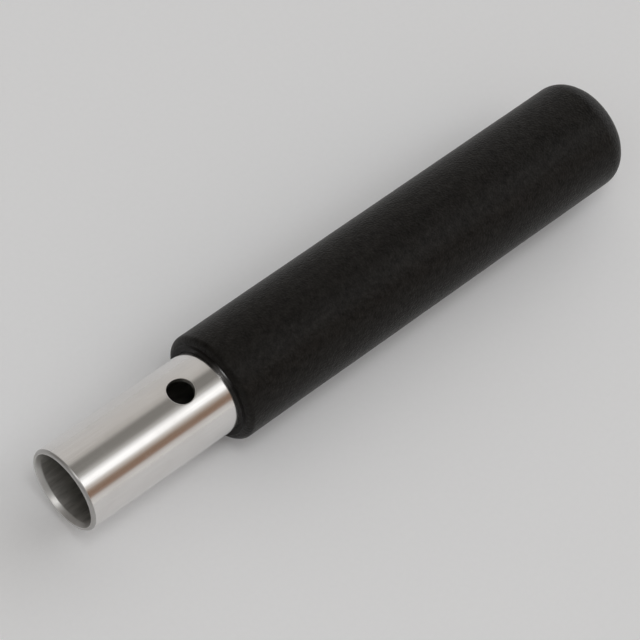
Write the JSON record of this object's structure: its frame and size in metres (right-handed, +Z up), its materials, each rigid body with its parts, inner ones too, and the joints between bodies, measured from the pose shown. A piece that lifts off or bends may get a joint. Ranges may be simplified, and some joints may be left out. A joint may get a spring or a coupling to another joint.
{
  "type": "ladder stabilizer arm end",
  "caption": "Padded end arm of a ladder stabilizer: a bright round tube with a pin hole, open at one end and covered by a closed-end foam sleeve at the other.",
  "frame": {"origin": "the middle of the bounding box's bottom face, so the arm lies on its foam sleeve on z = 0", "axes": "+X along the tube from its open mouth towards the sleeve's closed end, +Z up through the centre of the pin hole, +Y across"},
  "size_m": [0.2, 0.0334, 0.0333],
  "materials": {
    "bright_tube": "bright drawn and lightly polished, with fine lengthwise lines",
    "black_foam": "matte closed-cell foam rubber with a moulded skin",
    "black_plastic": "moulded, low sheen"
  },
  "bodies": {
    "root": {"arm_tube": "bright_tube", "foam_sleeve": "black_foam", "tube_end_plug": "black_plastic"}
  },
  "joints": []
}
